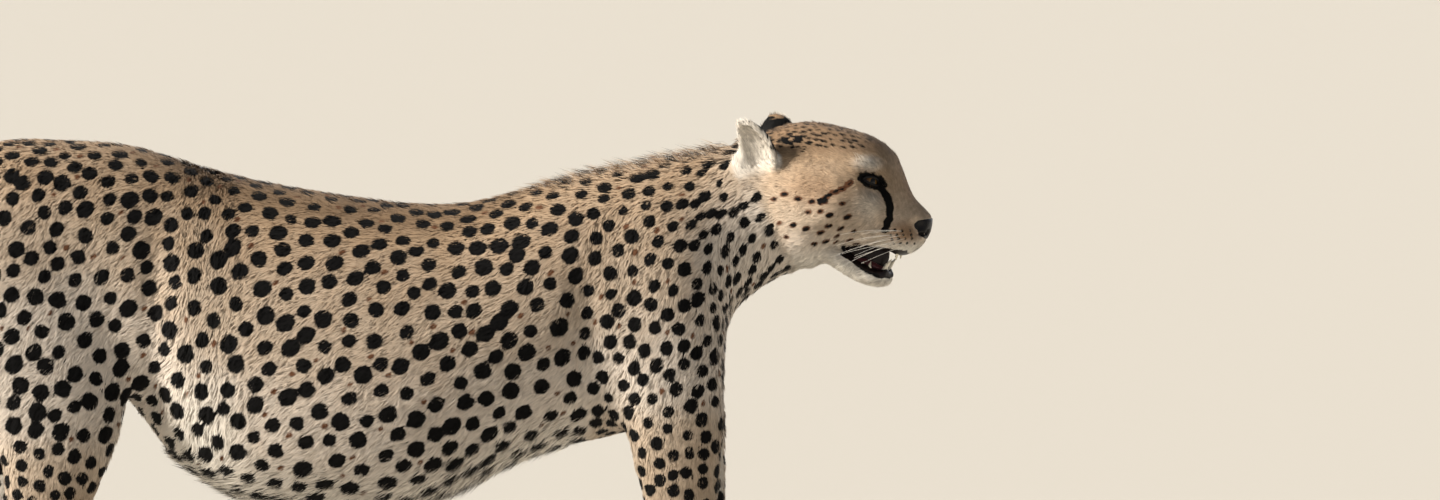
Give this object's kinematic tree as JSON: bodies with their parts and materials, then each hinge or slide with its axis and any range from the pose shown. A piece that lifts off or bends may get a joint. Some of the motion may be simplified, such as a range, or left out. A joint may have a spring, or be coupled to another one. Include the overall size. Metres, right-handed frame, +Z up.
{
  "type": "cheetah",
  "caption": "Life-size standing cheetah, a still museum model: spotted coat, lean legs on the floor, deep belly, long ringed tail, head level with the mouth a little open.",
  "frame": {"origin": "middle of the model's box, on the floor under the paws", "axes": "+X from tail to head, +Y to the animal's left, +Z up"},
  "size_m": [1.4128, 0.2404, 0.8181],
  "materials": {
    "coat": "short flat fur, tan above and white below, with solid black spots",
    "nose_leather": "moist black pebbled skin",
    "eye": "clear glossy eye, amber iris and round pupil",
    "tongue": "moist pink, rough with small papillae",
    "mouth_skin": "moist dark lips and gums",
    "tooth": "smooth ivory enamel",
    "claw": "worn dark horn",
    "pad_skin": "rough dark pad skin",
    "whisker": "stiff pale hair"
  },
  "bodies": {
    "root": {"trunk": "coat", "neck": "coat", "head": "coat", "lower_jaw": "coat", "nose": "nose_leather", "ear_right": "coat", "ear_left": "coat", "eye_right": "eye", "eye_left": "eye", "tongue": "tongue", "shoulder_right": "coat", "shoulder_left": "coat", "foreleg_right": "coat", "foreleg_left": "coat", "forepaw_right": "coat", "forepaw_left": "coat", "thigh_right": "coat", "thigh_left": "coat", "hindleg_right": "coat", "hindleg_left": "coat", "hindpaw_right": "coat", "hindpaw_left": "coat", "tail_base": "coat", "tail_middle": "coat", "tail_tip": "coat"}
  },
  "joints": []
}
